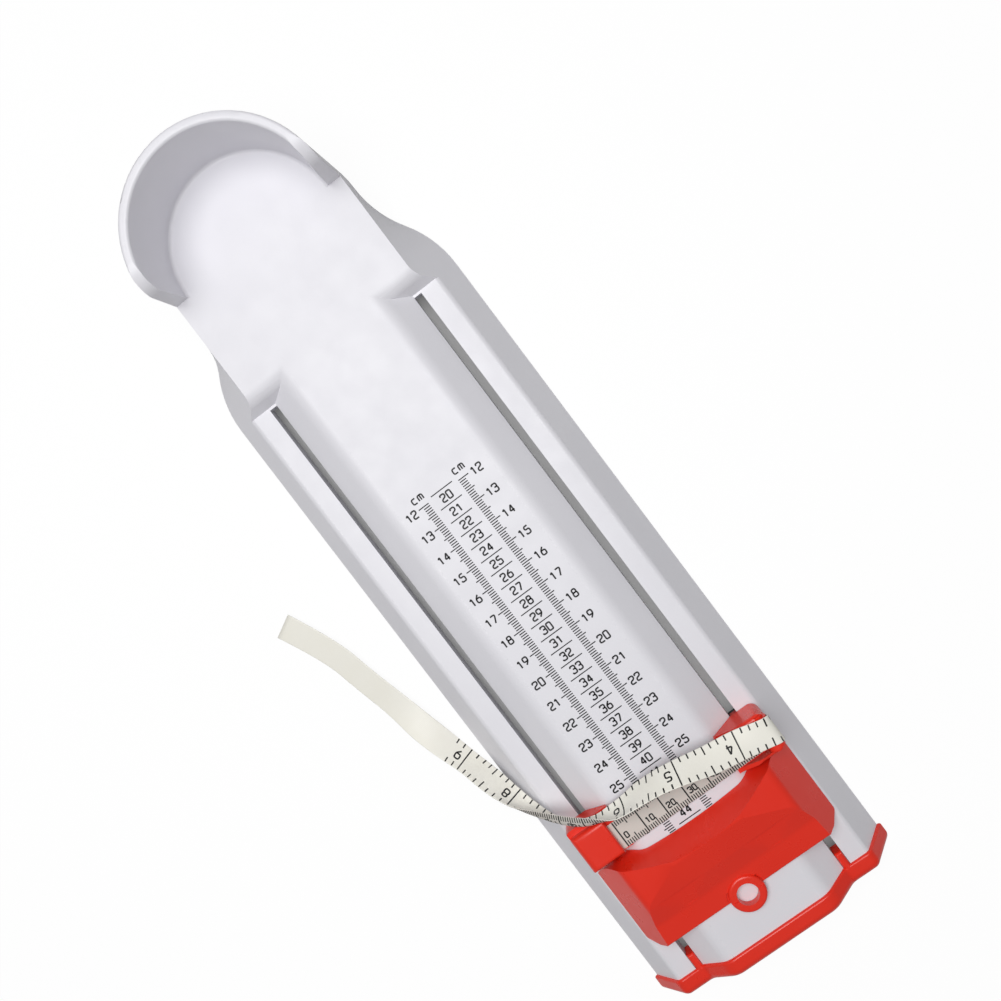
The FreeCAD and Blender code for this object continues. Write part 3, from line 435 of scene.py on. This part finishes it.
# ---------------------------------------------------------------- tape slider
# Two red ABS blocks joined by a black crossbar under the bed. The left one clamps the tape's end
# under a cap, and the tape turns round a pin of the same plastic in the right one.
smooth_copy("clamp_block_moulding", "tape_clamp_block", "tape_slider", red_abs)
smooth_copy("clamp_cap_moulding", "tape_clamp_cap", "tape_slider", red_abs)
smooth_copy("guide_block_moulding", "tape_guide_block", "tape_slider", red_abs)
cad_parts["tape_guide_pin"].data.materials[0] = red_abs
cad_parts["slider_crossbar"].data.materials[0] = black_abs

# ---------------------------------------------------------------- measuring tape
# A soft coated fibreglass tape, 11.4 mm wide: centimetres on one side and inches on the other.
# It is clamped at zero, crosses the bed, turns round the pin, comes back and hangs off the rail.

# Points the tape is laid along, how far it is turned there on its length (at 0 it lies flat and at
# -90 it stands on its heel side edge), and how far it is curled across its width, both in degrees.
# The first six are the lower run and the turn round the pin.
TAPE_ROUTE = np.array([
    (-0.0335, -0.1154, 0.0249, 0, 0),
    (0.0000, -0.1154, 0.0249, 0, 0),
    (0.0380, -0.1154, 0.0249, 0, 0),
    (0.0459, -0.1150, 0.0249, 0, 0),
    (0.0459, -0.1140, 0.0323, 0, 0),
    (0.0380, -0.1125, 0.0323, 0, 0),
    (0.0309, -0.1105, 0.0330, -18, 0),
    (0.0197, -0.1080, 0.0359, -35, 0),
    (0.0086, -0.1043, 0.0384, -51, 0),
    (-0.0004, -0.1026, 0.0382, -59, 0),
    (-0.0098, -0.1034, 0.0342, -65, 0),
    (-0.0175, -0.1051, 0.0330, -74, 45),
    (-0.0227, -0.1055, 0.0323, -78, 75),
    (-0.0290, -0.1046, 0.0317, -104, 115),
    (-0.0344, -0.1030, 0.0306, -114, 150),
    (-0.0397, -0.1002, 0.0279, -120, 120),
    (-0.0472, -0.0946, 0.0223, -111, 105),
    (-0.0530, -0.0884, 0.0160, -72, 120),
    (-0.0554, -0.0787, 0.0139, -53, 25),
    (-0.0577, -0.0721, 0.0112, -43, 0),
    (-0.0625, -0.0624, 0.0039, -52, 0),
    (-0.0683, -0.0412, 0.0053, -12, 0),
    (-0.0718, -0.0279, 0.0021, 12, 0),
    (-0.0763, -0.0111, 0.0020, 14, 0),
    (-0.0802, 0.0067, 0.0018, 13, 0),
    (-0.0900, 0.0263, 0.0013, 10, 0),
])
TURN_POINTS = 6
TAPE_WIDTH = 0.0114
TAPE_THICK = 0.00045
CURL_SCALE = 1000  # the curl is read from a spline of its own, as a height in degrees / 1000


def spline_points(points):
    """Points read along a smooth spline that is drawn towards these control points."""
    curve = bpy.data.curves.new("laid_line", "CURVE")
    curve.dimensions = "3D"
    spline = curve.splines.new("NURBS")
    spline.points.add(len(points) - 1)
    spline.points.foreach_set("co", np.column_stack([points, np.ones(len(points))]).ravel())
    spline.order_u = 3
    spline.use_endpoint_u = True
    spline.resolution_u = 16
    holder = bpy.data.objects.new("laid_line", curve)
    mesh = bpy.data.meshes.new_from_object(holder)
    read = np.empty(len(mesh.vertices) * 3)
    mesh.vertices.foreach_get("co", read)
    bpy.data.objects.remove(holder)
    bpy.data.curves.remove(curve)
    bpy.data.meshes.remove(mesh)
    return read.reshape(-1, 3)


def unit(vectors):
    """Each row divided by its length: v / |v|."""
    return vectors / np.linalg.norm(vectors, axis=1, keepdims=True)


laid = TAPE_ROUTE[:, :3]
ahead = unit(np.gradient(laid, axis=0))
flat = np.cross(ahead, (0, 0, 1))
flat[:TURN_POINTS] = (0, 1, 0)
flat = unit(flat)
rise = np.cross(flat, ahead)
turn = np.radians(TAPE_ROUTE[:, 3:4])
edge = laid + (flat * np.cos(turn) + rise * np.sin(turn)) * TAPE_WIDTH / 2
tape_middle = spline_points(laid)
tape_ahead = unit(np.gradient(tape_middle, axis=0))
tape_across = spline_points(edge) - tape_middle
tape_across -= tape_ahead * np.sum(tape_across * tape_ahead, axis=1, keepdims=True)
tape_across = unit(tape_across)
tape_face = np.cross(tape_ahead, tape_across)
curl_line = np.column_stack([laid[:, :2], TAPE_ROUTE[:, 4] / CURL_SCALE])
curl = np.radians(spline_points(curl_line)[:, 2:] * CURL_SCALE)
tape_curl = np.column_stack([curl, curl, curl])
tape_run = np.append(0, np.cumsum(np.linalg.norm(np.diff(tape_middle, axis=0), axis=1)))


def on_tape(run, across, height):
    """Points on the tape: run along it from the clamp, across towards one edge, height off its middle.

    A section is an arc through the middle that bends by `curl` over the tape's width. At the angle
    b = curl * across / width it is middle + side * (r sin b) - face * r (1 - cos b), r = width / curl,
    written with sinc so that no curl is a straight line. Height is then added square to the arc.
    """
    middle, side, face, curl = (
        np.stack([np.interp(run, tape_run, field[:, i]) for i in range(3)], -1)
        for field in (tape_middle, tape_across, tape_face, tape_curl)
    )
    across, height = across[..., None], height[..., None]
    b = curl * across / TAPE_WIDTH
    arc = side * np.sinc(b / np.pi) - face * np.sin(b / 2) * np.sinc(b / 2 / np.pi)
    return middle + arc * across + (face * np.cos(b) + side * np.sin(b)) * height


# The ribbon's section is a thin rectangle with rounded edges, carried along the stations.
arc = np.linspace(-np.pi / 2, np.pi / 2, 5)
half = TAPE_WIDTH / 2 - TAPE_THICK / 2
inside = np.linspace(half, -half, 23)[1:-1]
flat_side = np.ones(len(inside))
bulge = np.cos(arc) * TAPE_THICK / 2
section_across = np.concatenate([half + bulge, inside, -half - bulge, -inside])
section_height = np.concatenate([np.sin(arc), flat_side, -np.sin(arc), -flat_side]) * TAPE_THICK / 2
stations, around = len(tape_run), len(section_across)
run, across = np.meshgrid(tape_run, section_across, indexing="ij")
height = np.broadcast_to(section_height, run.shape)
corners = on_tape(run, across, height).reshape(-1, 3)
row = np.arange(stations - 1)[:, None] * around
k = np.arange(around)[None, :]
following = (k + 1) % around
sides = [row + k, row + k + around, row + following + around, row + following]
quads = np.stack(sides, -1).reshape(-1, 4)
first = list(range(around))
last = list(range(stations * around - 1, (stations - 1) * around - 1, -1))
tape_mesh = bpy.data.meshes.new("girth_tape")
tape_mesh.from_pydata(corners, [], [*quads.tolist(), first, last])
tape_mesh.shade_smooth()
woven = tape_mesh.uv_layers.new(name="along_tape")
vertex = np.empty(len(tape_mesh.loops), int)
tape_mesh.loops.foreach_get("vertex_index", vertex)
face_side = np.empty(len(tape_mesh.loops), bool)
turned_up = section_height + np.roll(section_height, -1) > 0
face_side[: 4 * len(quads)] = np.tile(np.repeat(turned_up, 4), stations - 1)
face_side[4 * len(quads) :] = False
# the second coordinate is one higher on the metric side, so that the material can tell the sides
spots = np.stack([run.ravel()[vertex], across.ravel()[vertex] + face_side], 1)
woven.data.foreach_set("uv", spots.ravel())

# Coated fibreglass tape: cream PVC over a weave whose threads show as a faint grid, here 0.6 mm
# apart. The coat is half matt, and yellows slightly in patches. The metric side is darker and greyer:
# partly its own beige tint, and partly painted shade for the lower run under the upper run.
THREAD_SCALE = 1 / 0.0006 / 20 * 6.283  # a wave texture repeats every 2 pi / 20 of its scale
coated_tape = bpy.data.materials.new("coated_fibreglass_tape")
coated_tape.use_nodes = True
coated_tape.node_tree.nodes.clear()
along = add(coated_tape, "ShaderNodeUVMap", {}, uv_map="along_tape").outputs["UV"]
warp = add(
    coated_tape,
    "ShaderNodeTexWave",
    {"Vector": along, "Scale": THREAD_SCALE, "Distortion": 0.6},
    bands_direction="X",
)
weft = add(
    coated_tape,
    "ShaderNodeTexWave",
    {"Vector": along, "Scale": THREAD_SCALE, "Distortion": 0.6},
    bands_direction="Y",
)
threads = add(
    coated_tape,
    "ShaderNodeMath",
    {0: warp.outputs["Fac"], 1: weft.outputs["Fac"]},
    operation="MULTIPLY",
)
patches = add(coated_tape, "ShaderNodeTexNoise", {"Vector": along, "Scale": 1 / 0.012, "Detail": 3.0})
white_coat = add(
    coated_tape,
    "ShaderNodeMix",
    {0: patches.outputs["Fac"], 6: paint("#FAF8F0"), 7: paint("#F3F0E4")},
    data_type="RGBA",
)
# the metric side's darker coat is partly a beige tint and partly painted shade, which stands in for the
# shade the upper run casts on the lower run
metric_coat_and_painted_shade = add(
    coated_tape,
    "ShaderNodeMix",
    {0: patches.outputs["Fac"], 6: paint("#DAD5CE"), 7: paint("#D1CBC3")},
    data_type="RGBA",
)
sides = add(coated_tape, "ShaderNodeSeparateXYZ", {"Vector": along})
metric_side = add(coated_tape, "ShaderNodeMath", {0: sides.outputs["Y"], 1: 0.5}, operation="GREATER_THAN")
tone = add(
    coated_tape,
    "ShaderNodeMix",
    {0: metric_side.outputs[0], 6: white_coat.outputs[2], 7: metric_coat_and_painted_shade.outputs[2]},
    data_type="RGBA",
)
weave = add(
    coated_tape,
    "ShaderNodeBump",
    {"Height": threads.outputs["Value"], "Strength": 0.35, "Distance": 0.00004},
)
rough = add(
    coated_tape,
    "ShaderNodeMapRange",
    {"Value": patches.outputs["Fac"], "From Min": 0.3, "From Max": 0.7, "To Min": 0.42, "To Max": 0.55},
)
shader = add(
    coated_tape,
    "ShaderNodeBsdfPrincipled",
    {
        "Base Color": tone.outputs[2],
        "Roughness": rough.outputs["Result"],
        "Normal": weave.outputs["Normal"],
        "IOR": 1.5,
    },
)
add(coated_tape, "ShaderNodeOutputMaterial", {"Surface": shader.outputs["BSDF"]})
tape_mesh.materials.append(coated_tape)
tape = bpy.data.objects.new("girth_tape", tape_mesh)
bpy.context.scene.collection.objects.link(tape)

# Both sides are printed alike: a line across at each unit, its number after it, and short marks
# along both edges. The inches run on the back, from a point behind the clamp.
METRIC_ZERO = 0.0070  # along the tape from the clamp
INCH_ZERO = -0.0019
PRINT_END = 0.2345
INCH = 0.0254
EDGE_LINE = TAPE_WIDTH * 0.49  # the marks start here, just inside the edge
CROSS_PEN = 0.00056
CROSS_POINTS, MARK_POINTS = 21, 7  # enough points for the lines to follow the curl
# Length of a short mark and of a half mark, then the pen of the marks and that of the figures.
METRIC_SIZES = (0.0021, 0.0033, 0.00044, 0.00054)
INCH_SIZES = (0.0021, 0.0033, 0.00056, 0.00066)
METRIC_HEIGHT, METRIC_DROP = 0.0023, -0.0014  # height of the figures, and how far off the middle
INCH_HEIGHT, INCH_DROP = 0.0038, 0.0


def tape_marks(zero, unit_length, parts, half_part, sizes, height, drop, number_of):
    """Marks along both edges and numbered lines across, between the clamp and the end of the print."""
    short_mark, half_mark, mark_pen, figure_pen = sizes
    strokes = []
    first = int(np.ceil((0.001 - zero) / unit_length * parts))
    for mark in range(first, int((PRINT_END - zero) / unit_length * parts) + 1):
        run = zero + mark * unit_length / parts
        if mark % parts == 0 and mark >= 0:
            line = np.linspace(-EDGE_LINE, EDGE_LINE, CROSS_POINTS)
            strokes.append((np.stack([np.full(CROSS_POINTS, run), line], 1), CROSS_PEN))
            if run + height * 1.6 < PRINT_END:
                word = number_of(mark // parts)
                middle = (run + height * (0.45 + 0.43 * len(word)), drop)
                for line, pen in figure_lines(word, middle, height, figure_pen):
                    # more points, so that the figure follows the curl
                    spot = np.arange(len(line))
                    fine = np.linspace(0, len(line) - 1, 4 * len(line))
                    line = np.stack([np.interp(fine, spot, line[:, i]) for i in (0, 1)], 1)
                    strokes.append((line, pen))
        elif mark > 0:
            length = half_mark if mark % half_part == 0 else short_mark
            for side in (-1, 1):
                line = np.linspace(EDGE_LINE, EDGE_LINE - length, MARK_POINTS) * side
                strokes.append((np.stack([np.full(MARK_POINTS, run), line], 1), mark_pen))
    return strokes


def on_metric_side(flat, height):
    """Points (along, across) of a print on the metric side, height above it."""
    return on_tape(flat[:, 0], flat[:, 1], np.full(len(flat), TAPE_THICK / 2 + height))


def on_inch_side(flat, height):
    """The same on the back, where across counts the other way so that the print isn't mirrored."""
    return on_tape(flat[:, 0], -flat[:, 1], np.full(len(flat), -TAPE_THICK / 2 - height))


tape_ink = printed_ink("tape_printing_ink", "#0E0E10", "#1C1B1A")
metric = tape_marks(
    METRIC_ZERO, 0.01, 10, 5, METRIC_SIZES, METRIC_HEIGHT, METRIC_DROP, lambda n: str(10 * n)
)
inches = tape_marks(INCH_ZERO, INCH, 8, 4, INCH_SIZES, INCH_HEIGHT, INCH_DROP, str)
metric_print = ink_film("tape_metric_print", metric, on_metric_side, "tape_slider", tape_ink)
inch_print = ink_film("tape_inch_print", inches, on_inch_side, "tape_slider", tape_ink)

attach(tape, "tape_slider")
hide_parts("measuring_tape")

# ---------------------------------------------------------------- floor and lamps
# A plain pale floor keeps the device's soft shadow. One large soft lamp hangs over the device, and
# the sky fills in from all sides.
FLOOR_GLOW = 0.9  # share of plain white in what the camera sees of the open floor, beside the device
# Painted shade and light on the floor: in a rectangle under the device the camera-only glow is cut back to
# a tenth, so the floor seen through the slots looks dark, and the tenth left is a painted glow that lifts
# it a little.
UNDER_SLOTS = (0.0, -0.044, 0.0)  # middle of the shaded floor that is seen through the slots
SHADE_X, SHADE_Y = 0.044, 0.141  # half its width and length, to where it starts to fade
FADE = 0.004
SHADE = 0.1  # share of the glow that is left there
floor_paper = bpy.data.materials.new("white_paper_floor")
floor_paper.use_nodes = True
floor_paper.node_tree.nodes.clear()
seen = add(floor_paper, "ShaderNodeLightPath", {})
fibres = add(floor_paper, "ShaderNodeTexNoise", {"Scale": 60.0, "Detail": 2.0})
paper_tone = add(
    floor_paper,
    "ShaderNodeMix",
    {0: fibres.outputs["Fac"], 6: paint("#D9D9D9"), 7: paint("#D6D6D6")},
    data_type="RGBA",
)
paper = add(floor_paper, "ShaderNodeBsdfDiffuse", {"Color": paper_tone.outputs[2]})
glow = add(floor_paper, "ShaderNodeEmission", {"Color": (1, 1, 1, 1), "Strength": 1.04})
spot = add(floor_paper, "ShaderNodeTexCoord", {}).outputs["Object"]
centred = add(floor_paper, "ShaderNodeVectorMath", {0: spot, 1: UNDER_SLOTS}, operation="SUBTRACT")
from_middle = add(floor_paper, "ShaderNodeVectorMath", {0: centred.outputs["Vector"]}, operation="ABSOLUTE")
apart = add(floor_paper, "ShaderNodeSeparateXYZ", {"Vector": from_middle.outputs["Vector"]})
beside = add(
    floor_paper,
    "ShaderNodeMapRange",
    {
        "Value": apart.outputs["X"],
        "From Min": SHADE_X,
        "From Max": SHADE_X + FADE,
        "To Min": SHADE,
        "To Max": 1.0,
    },
)
beyond = add(
    floor_paper,
    "ShaderNodeMapRange",
    {
        "Value": apart.outputs["Y"],
        "From Min": SHADE_Y,
        "From Max": SHADE_Y + FADE,
        "To Min": SHADE,
        "To Max": 1.0,
    },
)
open_floor = add(
    floor_paper,
    "ShaderNodeMath",
    {0: beside.outputs["Result"], 1: beyond.outputs["Result"]},
    operation="MAXIMUM",
)
strength = add(
    floor_paper,
    "ShaderNodeMath",
    {0: open_floor.outputs[0], 1: FLOOR_GLOW},
    operation="MULTIPLY",
)
share = add(
    floor_paper,
    "ShaderNodeMath",
    {0: seen.outputs["Is Camera Ray"], 1: strength.outputs[0]},
    operation="MULTIPLY",
)
lifted = add(
    floor_paper,
    "ShaderNodeMixShader",
    {0: share.outputs[0], 1: paper.outputs["BSDF"], 2: glow.outputs["Emission"]},
)
add(floor_paper, "ShaderNodeOutputMaterial", {"Surface": lifted.outputs["Shader"]})
floor_mesh = bpy.data.meshes.new("floor")
floor_mesh.from_pydata([(-4, -4, 0), (4, -4, 0), (4, 4, 0), (-4, 4, 0)], [], [(0, 1, 2, 3)])
floor_mesh.materials.append(floor_paper)
floor = bpy.data.objects.new("floor", floor_mesh)
bpy.context.scene.collection.objects.link(floor)

sky = bpy.data.worlds.new("studio")
sky.use_nodes = True
sky.node_tree.nodes.clear()
ray = add(sky, "ShaderNodeLightPath", {})
fill = add(sky, "ShaderNodeBackground", {"Color": (1, 1, 1, 1), "Strength": 0.21})
white = add(sky, "ShaderNodeBackground", {"Color": (1, 1, 1, 1), "Strength": 1.0})
either = add(
    sky,
    "ShaderNodeMixShader",
    {0: ray.outputs["Is Camera Ray"], 1: fill.outputs[0], 2: white.outputs[0]},
)
add(sky, "ShaderNodeOutputWorld", {"Surface": either.outputs[0]})
bpy.context.scene.world = sky

LAMP_PLACE = (-0.03, 0.14, 0.75)
lamp_data = bpy.data.lights.new("overhead_softbox", "AREA")
lamp_data.shape = "DISK"
lamp_data.size = 0.6
lamp_data.energy = 4.6
lamp = bpy.data.objects.new("overhead_softbox", lamp_data)
lamp.location = LAMP_PLACE
# it is tilted so that it faces the middle of the floor
tilt = np.arctan2(np.hypot(LAMP_PLACE[0], LAMP_PLACE[1]), LAMP_PLACE[2])
lamp.rotation_euler = (0, tilt, np.arctan2(LAMP_PLACE[1], LAMP_PLACE[0]))
bpy.context.scene.collection.objects.link(lamp)

bpy.context.scene.view_settings.view_transform = "Standard"
